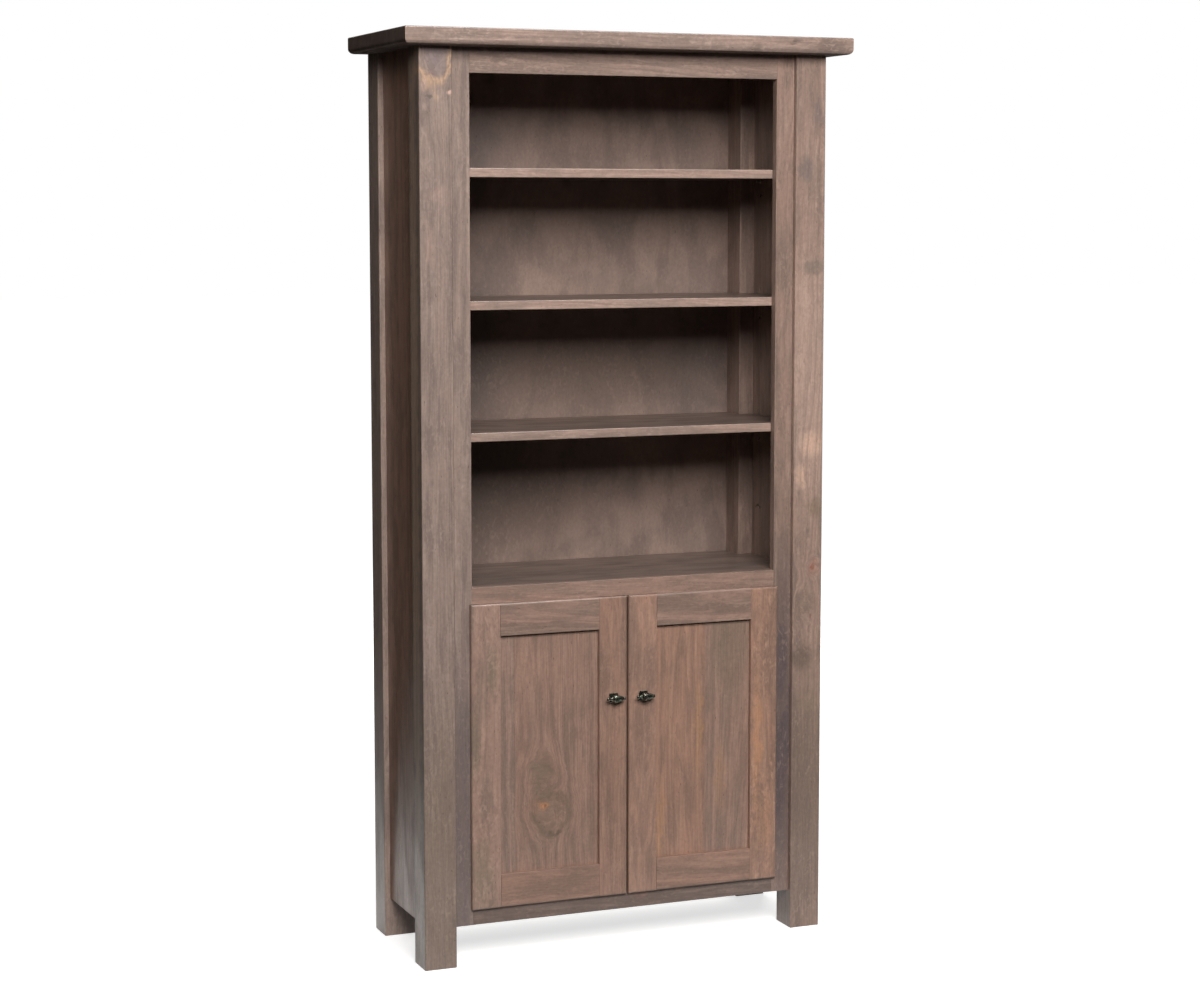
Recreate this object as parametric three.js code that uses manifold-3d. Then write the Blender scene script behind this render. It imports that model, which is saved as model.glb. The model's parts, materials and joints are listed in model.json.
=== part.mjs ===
// Bookcase with cabinet doors: a hardwood post-and-panel case with a recessed face frame,
// three adjustable shelves above a fixed deck, and a two-door cabinet with one more shelf.
// Millimetres, +Z up. Inside the case group, x runs to the right from the middle, y runs
// towards the wall from the front faces of the posts, and z runs up from the floor.

import * as THREE from 'three';
import { mergeVertices } from 'three/addons/utils/BufferGeometryUtils.js';
import Module from 'manifold-3d';

const wasm = await Module();
wasm.setup();

// Case, over the posts
const CASE_WIDTH = 914;
const CASE_DEPTH = 347;
const POST_SIZE = 70;
const POST_HEIGHT = 1901;

// Top slab
const TOP_THICKNESS = 35;
const TOP_OVERHANG_SIDE = 42;
const TOP_OVERHANG_FRONT = 44;
const TOP_OVERHANG_BACK = 4;
const TOP_UNDER_EDGE_RADIUS = 11;
const TOP_UPPER_EDGE_RADIUS = 3;

// Boards
const BOARD_THICKNESS = 19;
const PANEL_THICKNESS = 22.5;
const PANEL_RECESS = 12.5;
const PANEL_BOTTOM = 83.5;
const BACK_THICKNESS = 5.5;
const BACK_LAP = 8;
const GROOVE_DEPTH = 10;
const TONGUE_LENGTH = 9.5;
const JOINT_GAP = 0.3;

// Face frame, set back between the posts
const FRAME_RECESS = 12;
const FRAME_THICKNESS = 19;
const STILE_WIDTH = 41;
const TOP_RAIL_WIDTH = 52;
const DECK_TOP = 797;
const MIDDLE_RAIL_WIDTH = 40.5;
const BOTTOM_RAIL_WIDTH = 39.5;

// Adjustable shelves, by the height of their top faces, and the pins that carry them
const SHELF_TOPS = { shelf_lower: 1115.5, shelf_middle: 1387, shelf_upper: 1658.5, shelf_cabinet: 440 };
const SHELF_END_GAP = 1.5;
const SHELF_POST_GAP = 1.5;
const SHELF_FRONT_GAP = 0.5;
const SHELF_BACK_GAP = 1.5;
const PIN_RADIUS = 3.2;
const PIN_COLLAR_RADIUS = 4.5;
const PIN_COLLAR_THICKNESS = 1;
const PIN_REACH = 11;
const PIN_HOLE_DEPTH = 10;
const PIN_SETBACK = 32;
const PIN_PITCH = 32;
const PIN_REST_GAP = 0.05;
const SPARE_HOLE_HEIGHT = 906;

// Doors, lipped over the face frame, with a recessed flat panel in grooved stiles and rails
const DOOR_THICKNESS = 22;
const DOOR_FRONT = 0.5;
const DOOR_LIP_THICKNESS = 10.5;
const DOOR_LIP_OVERLAP = 6;
const DOOR_LIP_WIDTH = 9;
const DOOR_MIDDLE_GAP = 3.5;
const DOOR_STILE_WIDTH = 64.5;
const DOOR_TOP_RAIL_WIDTH = 68.5;
const DOOR_BOTTOM_RAIL_WIDTH = 71.5;
const DOOR_PANEL_THICKNESS = 6;
const DOOR_PANEL_RECESS = 11;

// Knobs: a forged cross bar on a neck, over a small square plate. The bar has a ball and a waist
// at its left end, then a thick barrel that tapers to a small button at its right end.
const KNOB_HEIGHT = 546;
const KNOB_BAR_LENGTH = 42;
const KNOB_BARREL_RADIUS = 9;
const KNOB_BARREL_START = 13;
const KNOB_BARREL_WIDEST = [17, 22];
const KNOB_BALL_RADIUS = 3.8;
const KNOB_BALL_LENGTH = 6;
const KNOB_WAIST_RADIUS = 3;
const KNOB_SHOULDER_RADIUS = 4.5;
const KNOB_TAPER_RADIUS = 5;
const KNOB_BUTTON_LENGTH = 5;
const KNOB_END_FLAT_RADIUS = 2.8;
const KNOB_END_ROUND = 1.5;
const KNOB_NECK_RADIUS = 4.5;
const KNOB_PROJECTION = 25;
const KNOB_PLATE_SIZE = 20;
const KNOB_PLATE_THICKNESS = 2;

// Concealed cup hinges, two to a door
const HINGE_INSET = 88;
const CUP_RADIUS = 17.5;
const CUP_DEPTH = 11.2;
const CUP_EDGE_DISTANCE = 3.5;
const CUP_FLANGE_RADIUS = 20;
const CUP_FLANGE_THICKNESS = 1;
const CUP_WALL = 1.2;
const ARM_THICKNESS = 5;
const ARM_HEIGHT = 15;
const ARM_PLATE_HEIGHT = 42;
const ARM_PLATE_THICKNESS = 2.5;
const ARM_CLEARANCE = 0.8;

// How finely round shapes are faceted, and how far a cutting block runs past the face it opens
const EDGE_STEPS = 6;
const CUP_SIDES = 24;
const PIN_SIDES = 12;
const HOLE_SIDES = 10;
const KNOB_SIDES = 10;
const BEYOND = 5;

// Places worked out from the sizes above
const halfWidth = CASE_WIDTH / 2;
const postInner = halfWidth - POST_SIZE;
const openingHalf = postInner - STILE_WIDTH;
const panelOuter = halfWidth - PANEL_RECESS;
const panelInner = panelOuter - PANEL_THICKNESS;
const backFace = CASE_DEPTH - BACK_THICKNESS;
const frameBack = FRAME_RECESS + FRAME_THICKNESS;
const openingTop = POST_HEIGHT - TOP_RAIL_WIDTH;
const middleRailBottom = DECK_TOP - MIDDLE_RAIL_WIDTH;
const floorTop = PANEL_BOTTOM + BOTTOM_RAIL_WIDTH;
const pinHoleRadius = PIN_RADIUS + JOINT_GAP;
const pinColumns = [POST_SIZE + PIN_SETBACK, CASE_DEPTH - POST_SIZE - PIN_SETBACK];
const doorOuter = openingHalf + DOOR_LIP_OVERLAP;
const doorInner = DOOR_MIDDLE_GAP / 2;
const doorBottom = floorTop - DOOR_LIP_OVERLAP;
const doorTop = middleRailBottom + DOOR_LIP_OVERLAP;
const doorBack = DOOR_FRONT + DOOR_THICKNESS;
const lipBack = DOOR_FRONT + DOOR_LIP_THICKNESS;
const doorPanelFront = DOOR_FRONT + DOOR_PANEL_RECESS;
const doorPanelBack = doorPanelFront + DOOR_PANEL_THICKNESS;
const cupCentre = doorOuter - DOOR_LIP_WIDTH - CUP_EDGE_DISTANCE - CUP_RADIUS;
const hingeHeights = { lower: doorBottom + HINGE_INSET, upper: doorTop - HINGE_INSET };

const finishes = {
  case_wood: { color: 0x957f70, roughness: 0.55, metalness: 0 },
  door_wood: { color: 0x8f7265, roughness: 0.55, metalness: 0 },
  shelf_wood: { color: 0xa58c7e, roughness: 0.55, metalness: 0 },
  back_board: { color: 0x7b6a60, roughness: 0.6, metalness: 0 },
  forged_bronze: { color: 0x3f4038, roughness: 0.45, metalness: 0.9 },
  hinge_steel: { color: 0xb4b4b0, roughness: 0.35, metalness: 1 },
};
const materials = {};
for (const [name, finish] of Object.entries(finishes)) {
  materials[name] = new THREE.MeshStandardMaterial(finish);
}

const bookcase = new THREE.Group();
const caseGroup = new THREE.Group();
caseGroup.position.y = (TOP_OVERHANG_FRONT - TOP_OVERHANG_BACK - CASE_DEPTH) / 2;
bookcase.add(caseGroup);

// A range on the x axis, taken to the left side (-1) or the right side (1) and put in order
function across(side, low, high) {
  return side > 0 ? [low, high] : [-high, -low];
}

// A rectangular block given by its ranges along x, y and z
function block([x0, x1], [y0, y1], [z0, z1]) {
  const geometry = new THREE.BoxGeometry(x1 - x0, y1 - y0, z1 - z0);
  return geometry.translate((x0 + x1) / 2, (y0 + y1) / 2, (z0 + z1) / 2);
}

function toSolid(geometry) {
  const plain = geometry.clone();
  plain.deleteAttribute('normal');
  plain.deleteAttribute('uv');
  const merged = mergeVertices(plain);
  const vertProperties = new Float32Array(merged.attributes.position.array);
  const triVerts = new Uint32Array(merged.index.array);
  return new wasm.Manifold(new wasm.Mesh({ numProp: 3, vertProperties, triVerts }));
}

function toGeometry(solid) {
  const { vertProperties, triVerts } = solid.getMesh();
  const geometry = new THREE.BufferGeometry();
  geometry.setAttribute('position', new THREE.BufferAttribute(vertProperties, 3));
  geometry.setIndex(new THREE.BufferAttribute(triVerts, 1));
  geometry.computeVertexNormals();
  return geometry;
}

function cut(geometry, cutters) {
  return toGeometry(cutters.reduce((solid, cutter) => solid.subtract(toSolid(cutter)), toSolid(geometry)));
}

function join(geometry, others) {
  return toGeometry(others.reduce((solid, other) => solid.add(toSolid(other)), toSolid(geometry)));
}

function addPiece(name, finish, geometry) {
  const mesh = new THREE.Mesh(geometry, materials[finish]);
  mesh.name = name;
  caseGroup.add(mesh);
  return mesh;
}

const sides = { left: -1, right: 1 };

// The top slab: one edge profile, run along both directions and met at mitred corners
function slabProfile(width) {
  const half = width / 2;
  const low = TOP_UNDER_EDGE_RADIUS;
  const high = TOP_UPPER_EDGE_RADIUS;
  const profile = new THREE.Shape();
  profile.absarc(half - low, low, low, -Math.PI / 2, 0);
  profile.absarc(half - high, TOP_THICKNESS - high, high, 0, Math.PI / 2);
  profile.absarc(high - half, TOP_THICKNESS - high, high, Math.PI / 2, Math.PI);
  profile.absarc(low - half, low, low, Math.PI, Math.PI * 1.5);
  return profile;
}

function extrudedProfile(width, length) {
  const settings = { depth: length + 2 * BEYOND, bevelEnabled: false, curveSegments: EDGE_STEPS };
  const geometry = new THREE.ExtrudeGeometry(slabProfile(width), settings);
  return geometry.translate(0, 0, -length / 2 - BEYOND).rotateX(Math.PI / 2);
}

const topWidth = CASE_WIDTH + 2 * TOP_OVERHANG_SIDE;
const topDepth = CASE_DEPTH + TOP_OVERHANG_FRONT + TOP_OVERHANG_BACK;
const alongY = toSolid(extrudedProfile(topWidth, topDepth));
const alongX = toSolid(extrudedProfile(topDepth, topWidth).rotateZ(Math.PI / 2));
const top = addPiece('top_panel', 'case_wood', toGeometry(alongY.intersect(alongX)));
top.position.set(0, topDepth / 2 - TOP_OVERHANG_FRONT, POST_HEIGHT);

// Posts, grooved for the side panels; the rear pair are also rabbeted for the back board
function addPost(sideName, row) {
  const side = sides[sideName];
  const front = row === 'front' ? 0 : CASE_DEPTH - POST_SIZE;
  const back = front + POST_SIZE;
  const heights = [PANEL_BOTTOM - JOINT_GAP, POST_HEIGHT + BEYOND];
  const grooveX = across(side, panelInner - JOINT_GAP, panelOuter + JOINT_GAP);
  const frontGroove = [back - GROOVE_DEPTH, back + BEYOND];
  const rearGroove = [front - BEYOND, front + GROOVE_DEPTH];
  const grooveY = row === 'front' ? frontGroove : rearGroove;
  const cutters = [block(grooveX, grooveY, heights)];
  if (row === 'rear') {
    const rabbetX = across(side, postInner - BEYOND, postInner + BACK_LAP + JOINT_GAP);
    cutters.push(block(rabbetX, [backFace - JOINT_GAP, back + BEYOND], heights));
  }
  const blank = block(across(side, postInner, halfWidth), [front, back], [0, POST_HEIGHT]);
  addPiece(`${row}_${sideName}_post`, 'case_wood', cut(blank, cutters));
}

// Side panels, with blind holes for the shelf pins bored into their inner faces
function pinHeight(shelfTop) {
  return shelfTop - BOARD_THICKNESS - PIN_RADIUS - PIN_REST_GAP;
}

function holeHeights() {
  const heights = [SPARE_HOLE_HEIGHT];
  for (const shelfTop of Object.values(SHELF_TOPS)) {
    for (const step of [-1, 0, 1]) {
      heights.push(pinHeight(shelfTop) + step * PIN_PITCH);
    }
  }
  return heights;
}

function addSidePanel(sideName) {
  const side = sides[sideName];
  const depthRange = [POST_SIZE - TONGUE_LENGTH, CASE_DEPTH - POST_SIZE + TONGUE_LENGTH];
  const blank = block(across(side, panelInner, panelOuter), depthRange, [PANEL_BOTTOM, POST_HEIGHT]);
  const cutters = [];
  for (const y of pinColumns) {
    for (const z of holeHeights()) {
      const length = 2 * PIN_HOLE_DEPTH;
      const drill = new THREE.CylinderGeometry(pinHoleRadius, pinHoleRadius, length, HOLE_SIDES);
      cutters.push(drill.rotateZ(Math.PI / 2).translate(side * panelInner, y, z));
    }
  }
  addPiece(`side_panel_${sideName}`, 'case_wood', cut(blank, cutters));
}

for (const sideName of Object.keys(sides)) {
  addPost(sideName, 'front');
  addPost(sideName, 'rear');
  addSidePanel(sideName);
}

const backHalf = postInner + BACK_LAP;
addPiece('back_board', 'back_board',
  block([-backHalf, backHalf], [backFace, CASE_DEPTH], [PANEL_BOTTOM, POST_HEIGHT]));

// Face frame: stiles beside the posts, rails between the stiles
const frameY = [FRAME_RECESS, frameBack];
for (const [sideName, side] of Object.entries(sides)) {
  addPiece(`frame_stile_${sideName}`, 'case_wood',
    block(across(side, openingHalf, postInner), frameY, [PANEL_BOTTOM, POST_HEIGHT]));
}
const railX = [-openingHalf, openingHalf];
addPiece('frame_top_rail', 'case_wood', block(railX, frameY, [openingTop, POST_HEIGHT]));
addPiece('frame_middle_rail', 'case_wood', block(railX, frameY, [middleRailBottom, DECK_TOP]));
addPiece('frame_bottom_rail', 'case_wood', block(railX, frameY, [PANEL_BOTTOM, floorTop]));

// Horizontal boards run between the side panels, notched at each corner around a post.
// gaps are the clearances at the ends, at the posts, at the face frame and at the back.
function addNotchedBoard(name, finish, topHeight, gaps) {
  const end = panelInner - gaps.end;
  const neck = postInner - gaps.post;
  const front = frameBack + gaps.front;
  const frontShoulder = POST_SIZE + gaps.post;
  const rearShoulder = CASE_DEPTH - POST_SIZE - gaps.post;
  const rear = backFace - gaps.back;
  const rightEdge = [[neck, front], [neck, frontShoulder], [end, frontShoulder],
    [end, rearShoulder], [neck, rearShoulder], [neck, rear]];
  const leftEdge = rightEdge.map(([x, y]) => [-x, y]).reverse();
  const outline = new THREE.Shape([...rightEdge, ...leftEdge].map(([x, y]) => new THREE.Vector2(x, y)));
  const board = new THREE.ExtrudeGeometry(outline, { depth: BOARD_THICKNESS, bevelEnabled: false });
  addPiece(name, finish, board).position.z = topHeight - BOARD_THICKNESS;
}

const fixedGaps = { end: 0, post: 0, front: 0, back: 0 };
addNotchedBoard('fixed_deck', 'shelf_wood', DECK_TOP, fixedGaps);
addNotchedBoard('cabinet_floor', 'shelf_wood', floorTop, fixedGaps);
const looseGaps = {
  end: SHELF_END_GAP, post: SHELF_POST_GAP, front: SHELF_FRONT_GAP, back: SHELF_BACK_GAP,
};
for (const [name, shelfTop] of Object.entries(SHELF_TOPS)) {
  addNotchedBoard(name, 'shelf_wood', shelfTop, looseGaps);
}

// Screw cleats under the ends of the top slab
for (const [sideName, side] of Object.entries(sides)) {
  addPiece(`top_cleat_${sideName}`, 'case_wood',
    block(across(side, panelInner - BOARD_THICKNESS, panelInner), [POST_SIZE, CASE_DEPTH - POST_SIZE],
      [POST_HEIGHT - BOARD_THICKNESS, POST_HEIGHT]));
}

// A turned shape, from an outline of [radius, height] points that starts and ends on the y axis
function turned(outline, steps) {
  return new THREE.LatheGeometry(outline.map(([r, h]) => new THREE.Vector2(r, h)), steps);
}

// Shelf pins: a stem in the blind hole, a thin collar at the panel, and a peg under the shelf
function pinGeometry() {
  const stem = PIN_HOLE_DEPTH - JOINT_GAP;
  const collarStart = stem + 2 * JOINT_GAP;
  const collarEnd = collarStart + PIN_COLLAR_THICKNESS - JOINT_GAP;
  const tip = PIN_HOLE_DEPTH + PIN_REACH;
  const outline = [[0, 0], [PIN_RADIUS, 0], [PIN_RADIUS, collarStart], [PIN_COLLAR_RADIUS, collarStart],
    [PIN_COLLAR_RADIUS, collarEnd], [PIN_RADIUS, collarEnd], [PIN_RADIUS, tip], [0, tip]];
  return turned(outline, PIN_SIDES);
}

for (const [shelf, shelfTop] of Object.entries(SHELF_TOPS)) {
  for (const [sideName, side] of Object.entries(sides)) {
    for (const [index, row] of ['front', 'rear'].entries()) {
      const pin = addPiece(`${shelf}_pin_${row}_${sideName}`, 'hinge_steel', pinGeometry());
      pin.rotation.z = side * Math.PI / 2;
      const stemEnd = panelInner + PIN_HOLE_DEPTH - JOINT_GAP;
      pin.position.set(side * stemEnd, pinColumns[index], pinHeight(shelfTop));
    }
  }
}

// Doors: two stiles, two rails with stub tenons, and a flat panel held in their grooves
function doorLipCuts(side, atOuterEdge) {
  const behindLip = [lipBack, doorBack + BEYOND];
  const allX = across(side, doorInner - BEYOND, doorOuter + BEYOND);
  const cuts = [
    block(allX, behindLip, [doorTop - DOOR_LIP_WIDTH, doorTop + BEYOND]),
    block(allX, behindLip, [doorBottom - BEYOND, doorBottom + DOOR_LIP_WIDTH]),
  ];
  if (atOuterEdge) {
    const outerX = across(side, doorOuter - DOOR_LIP_WIDTH, doorOuter + BEYOND);
    cuts.push(block(outerX, behindLip, [doorBottom - BEYOND, doorTop + BEYOND]));
  }
  return cuts;
}

function addDoor(sideName) {
  const side = sides[sideName];
  const doorY = [DOOR_FRONT, doorBack];
  const grooveY = [doorPanelFront - JOINT_GAP, doorPanelBack + JOINT_GAP];
  const tenonY = [doorPanelFront, doorPanelBack];
  const lockEdge = doorInner + DOOR_STILE_WIDTH;
  const hingeEdge = doorOuter - DOOR_STILE_WIDTH;
  const panelTop = doorTop - DOOR_TOP_RAIL_WIDTH;
  const panelBottom = doorBottom + DOOR_BOTTOM_RAIL_WIDTH;
  const wholeHeight = [doorBottom - BEYOND, doorTop + BEYOND];

  const lockStile = block(across(side, doorInner, lockEdge), doorY, [doorBottom, doorTop]);
  addPiece(`${sideName}_door_lock_stile`, 'door_wood', cut(lockStile, [
    ...doorLipCuts(side, false),
    block(across(side, lockEdge - GROOVE_DEPTH, lockEdge + BEYOND), grooveY, wholeHeight),
  ]));

  const hingeStile = block(across(side, hingeEdge, doorOuter), doorY, [doorBottom, doorTop]);
  const boreRadius = CUP_RADIUS + JOINT_GAP;
  const boreDepth = CUP_DEPTH + JOINT_GAP;
  const cupBores = Object.values(hingeHeights).map((z) => {
    const bore = new THREE.CylinderGeometry(boreRadius, boreRadius, 2 * boreDepth, CUP_SIDES);
    return bore.translate(side * cupCentre, doorBack, z);
  });
  addPiece(`${sideName}_door_hinge_stile`, 'door_wood', cut(hingeStile, [
    ...doorLipCuts(side, true),
    block(across(side, hingeEdge - BEYOND, hingeEdge + GROOVE_DEPTH), grooveY, wholeHeight),
    ...cupBores,
  ]));

  const rails = {
    top: { z: [panelTop, doorTop], groove: [panelTop - BEYOND, panelTop + GROOVE_DEPTH] },
    bottom: { z: [doorBottom, panelBottom], groove: [panelBottom - GROOVE_DEPTH, panelBottom + BEYOND] },
  };
  const tenonX = across(side, lockEdge - TONGUE_LENGTH, hingeEdge + TONGUE_LENGTH);
  for (const [railName, rail] of Object.entries(rails)) {
    const body = block(across(side, lockEdge, hingeEdge), doorY, rail.z);
    const tenons = block(tenonX, tenonY, rail.z);
    addPiece(`${sideName}_door_${railName}_rail`, 'door_wood', cut(join(body, [tenons]), [
      ...doorLipCuts(side, false),
      block(tenonX, grooveY, rail.groove),
    ]));
  }

  addPiece(`${sideName}_door_panel`, 'door_wood', block(tenonX, tenonY,
    [panelBottom - TONGUE_LENGTH, panelTop + TONGUE_LENGTH]));
}

// Knobs, each centred on its lock stile
function knobGeometry() {
  const end = KNOB_BAR_LENGTH;
  const [widestStart, widestEnd] = KNOB_BARREL_WIDEST;
  const outline = [
    [0, 0], [KNOB_END_FLAT_RADIUS, 0], [KNOB_BALL_RADIUS, KNOB_END_ROUND],
    [KNOB_BALL_RADIUS, KNOB_BALL_LENGTH - KNOB_END_ROUND], [KNOB_WAIST_RADIUS, KNOB_BALL_LENGTH],
    [KNOB_SHOULDER_RADIUS, KNOB_BARREL_START], [KNOB_BARREL_RADIUS, widestStart],
    [KNOB_BARREL_RADIUS, widestEnd], [KNOB_TAPER_RADIUS, end - KNOB_BUTTON_LENGTH],
    [KNOB_BALL_RADIUS, end - KNOB_BUTTON_LENGTH + KNOB_END_ROUND],
    [KNOB_BALL_RADIUS, end - KNOB_END_ROUND], [KNOB_END_FLAT_RADIUS, end], [0, end],
  ];
  const bar = turned(outline, KNOB_SIDES).translate(0, -end / 2, 0).rotateZ(-Math.PI / 2);
  const neckLength = KNOB_PROJECTION - KNOB_BARREL_RADIUS - KNOB_PLATE_THICKNESS - JOINT_GAP;
  const neck = new THREE.CylinderGeometry(KNOB_NECK_RADIUS, KNOB_NECK_RADIUS, neckLength, KNOB_SIDES);
  return join(bar, [neck.translate(0, neckLength / 2, 0)]);
}

function addKnob(sideName) {
  const x = sides[sideName] * (doorInner + DOOR_STILE_WIDTH / 2);
  const reach = KNOB_PLATE_SIZE / 2;
  addPiece(`${sideName}_knob_plate`, 'forged_bronze', block([x - reach, x + reach],
    [DOOR_FRONT - KNOB_PLATE_THICKNESS, DOOR_FRONT], [KNOB_HEIGHT - reach, KNOB_HEIGHT + reach]));
  const knob = addPiece(`${sideName}_knob`, 'forged_bronze', knobGeometry());
  knob.position.set(x, DOOR_FRONT - KNOB_PROJECTION + KNOB_BARREL_RADIUS, KNOB_HEIGHT);
}

// Cup hinges: the flanged cup sits in the door's back, the arm is screwed to the face frame's edge
function cupGeometry() {
  const flange = CUP_DEPTH + JOINT_GAP;
  const rim = flange + CUP_FLANGE_THICKNESS;
  const bore = CUP_RADIUS - CUP_WALL;
  return turned([[0, 0], [CUP_RADIUS, 0], [CUP_RADIUS, flange], [CUP_FLANGE_RADIUS, flange],
    [CUP_FLANGE_RADIUS, rim], [bore, rim], [bore, CUP_WALL], [0, CUP_WALL]], CUP_SIDES);
}

function addHinge(sideName, level) {
  const side = sides[sideName];
  const z = hingeHeights[level];
  const cup = addPiece(`${sideName}_hinge_cup_${level}`, 'hinge_steel', cupGeometry());
  cup.position.set(side * cupCentre, doorBack - CUP_DEPTH, z);
  const armFront = doorBack + JOINT_GAP + CUP_FLANGE_THICKNESS + ARM_CLEARANCE;
  const frameSide = openingHalf - JOINT_GAP;
  const armX = across(side, cupCentre - CUP_RADIUS / 2, frameSide);
  const arm = block(armX, [armFront, armFront + ARM_THICKNESS], [z - ARM_HEIGHT / 2, z + ARM_HEIGHT / 2]);
  const plateX = across(side, frameSide - ARM_PLATE_THICKNESS, frameSide);
  const plate = block(plateX, [armFront, frameBack], [z - ARM_PLATE_HEIGHT / 2, z + ARM_PLATE_HEIGHT / 2]);
  addPiece(`${sideName}_hinge_arm_${level}`, 'hinge_steel', join(arm, [plate]));
}

for (const sideName of Object.keys(sides)) {
  addDoor(sideName);
  addKnob(sideName);
  addHinge(sideName, 'lower');
  addHinge(sideName, 'upper');
}

export default bookcase;
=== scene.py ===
"""Bookcase with cabinet doors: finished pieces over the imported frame. Metres, +Z up, front at -Y."""
import json
import math
import random

import bmesh
import bpy
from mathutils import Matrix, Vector, noise


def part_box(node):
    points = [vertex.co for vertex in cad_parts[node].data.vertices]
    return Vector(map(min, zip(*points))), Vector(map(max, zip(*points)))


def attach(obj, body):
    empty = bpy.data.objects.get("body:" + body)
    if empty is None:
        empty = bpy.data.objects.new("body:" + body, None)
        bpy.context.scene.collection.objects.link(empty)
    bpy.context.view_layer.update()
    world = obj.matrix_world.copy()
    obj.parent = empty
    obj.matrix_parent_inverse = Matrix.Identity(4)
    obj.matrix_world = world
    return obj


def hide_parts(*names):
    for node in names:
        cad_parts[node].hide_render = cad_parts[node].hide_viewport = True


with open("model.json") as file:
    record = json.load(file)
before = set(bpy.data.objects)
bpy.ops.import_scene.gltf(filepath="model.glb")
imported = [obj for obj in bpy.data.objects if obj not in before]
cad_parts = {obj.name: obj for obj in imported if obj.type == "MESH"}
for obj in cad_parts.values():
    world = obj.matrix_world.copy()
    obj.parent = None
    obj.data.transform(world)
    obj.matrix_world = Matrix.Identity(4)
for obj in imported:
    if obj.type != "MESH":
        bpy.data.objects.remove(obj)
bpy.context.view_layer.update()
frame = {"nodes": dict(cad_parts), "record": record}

# Camera: 5.4 m away, to the left of the case and at four fifths of its height, looking down by
# 6 degrees. The lens is shifted a little, as on a view camera, so that the uprights lean less.
CAMERA_PLACE = Vector((-2.056, -5.022, 1.573))
CAMERA_TURN = math.radians(22.24)
CAMERA_DIP = math.radians(6.01)
FILM_WIDTH_MM = 36.0
FOCAL_LENGTH_MM = 75.8
VIEW_SHIFT = -0.02

camera_data = bpy.data.cameras.new("camera")
camera_data.sensor_width = FILM_WIDTH_MM
camera_data.lens = FOCAL_LENGTH_MM
camera_data.shift_y = VIEW_SHIFT
camera = bpy.data.objects.new("camera", camera_data)
camera.location = CAMERA_PLACE
camera.rotation_euler = (math.pi / 2 - CAMERA_DIP, 0, -CAMERA_TURN)
bpy.context.collection.objects.link(camera)
bpy.context.scene.camera = camera
bpy.context.scene.view_settings.view_transform = "Standard"

# Floor and background: a pale painted studio floor that runs out into white. The floor shows
# white where the lamps reach it, and keeps the case's soft shadow.
FLOOR_SIZE = 80.0
FLOOR_LOOK = "E4E2DF"
FLOOR_BOUNCE = "4C4B49"
FLOOR_GLOW = 0.7
FADE_START, FADE_END = 1.0, 3.6
ROOM_LIGHT = 0.03
EASED = {"interpolation_type": "SMOOTHSTEP"}


def linear(hex_colour, light=1.0):
    """An sRGB hex colour as linear RGBA, made lighter or darker by a factor."""
    channels = [int(hex_colour[start:start + 2], 16) / 255 for start in (0, 2, 4)]
    curved = [c / 12.92 if c <= 0.04045 else ((c + 0.055) / 1.055) ** 2.4 for c in channels]
    return tuple(light * c for c in curved) + (1.0,)


def add(tree, kind, inputs=None, **settings):
    """Adds a shader node. Inputs go by name or number, and are values, or what to link from: a
    socket, or a node, which gives the first of its outputs that is in use."""
    made = tree.nodes.new("ShaderNode" + kind)
    for name, value in settings.items():
        setattr(made, name, value)
    for key, value in (inputs or {}).items():
        if isinstance(value, bpy.types.Node):
            value = next(socket for socket in value.outputs if socket.enabled)
        if isinstance(value, bpy.types.NodeSocket):
            tree.links.new(value, made.inputs[key])
        else:
            made.inputs[key].default_value = value
    return made


def blank_tree(owner):
    """The empty node tree of a new material or world."""
    owner.use_nodes = True
    owner.node_tree.nodes.clear()
    return owner.node_tree


def new_object(name, bm, *materials):
    """Turns a finished bmesh into an object at the origin, and lets the bmesh go."""
    mesh = bpy.data.meshes.new(name)
    bm.to_mesh(mesh)
    bm.free()
    for material in materials:
        mesh.materials.append(material)
    made = bpy.data.objects.new(name, mesh)
    bpy.context.collection.objects.link(made)
    return made


def seen_directly(tree):
    """1 where a surface is seen by the camera, in a reflection or through glass, else 0."""
    ray = add(tree, "LightPath").outputs
    sharp = add(tree, "Math", {0: ray["Is Glossy Ray"], 1: ray["Is Transmission Ray"]}, operation="MAXIMUM")
    return add(tree, "Math", {0: ray["Is Camera Ray"], 1: sharp}, operation="MAXIMUM")


floor_paint = bpy.data.materials.new("matt_white_floor_paint")
tree = blank_tree(floor_paint)
place = add(tree, "TexCoord").outputs["Object"]
distance = add(tree, "VectorMath", {0: place}, operation="LENGTH")
fade = add(tree, "MapRange", {0: distance, 1: FADE_START, 2: FADE_END, 3: FLOOR_GLOW, 4: 1.0}, **EASED)
glow = add(tree, "Emission", {"Color": linear("FFFFFF"), "Strength": fade})
pale = add(tree, "BsdfDiffuse", {"Color": linear(FLOOR_LOOK)})
look = add(tree, "AddShader", {0: pale, 1: glow})
bounce = add(tree, "BsdfDiffuse", {"Color": linear(FLOOR_BOUNCE)})
mixed = add(tree, "MixShader", {0: seen_directly(tree), 1: bounce, 2: look})
add(tree, "OutputMaterial", {"Surface": mixed})

bm = bmesh.new()
bmesh.ops.create_grid(bm, x_segments=1, y_segments=1, size=FLOOR_SIZE / 2)
floor = new_object("floor", bm, floor_paint)

world = bpy.data.worlds.new("white_studio")
bpy.context.scene.world = world
tree = blank_tree(world)
room = add(tree, "Background", {"Color": linear("F4F2F0"), "Strength": ROOM_LIGHT})
backdrop = add(tree, "Background", {"Color": linear("FFFFFF"), "Strength": 1.0})
mixed = add(tree, "MixShader", {0: seen_directly(tree), 1: room, 2: backdrop})
add(tree, "OutputWorld", {"Surface": mixed})

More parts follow.
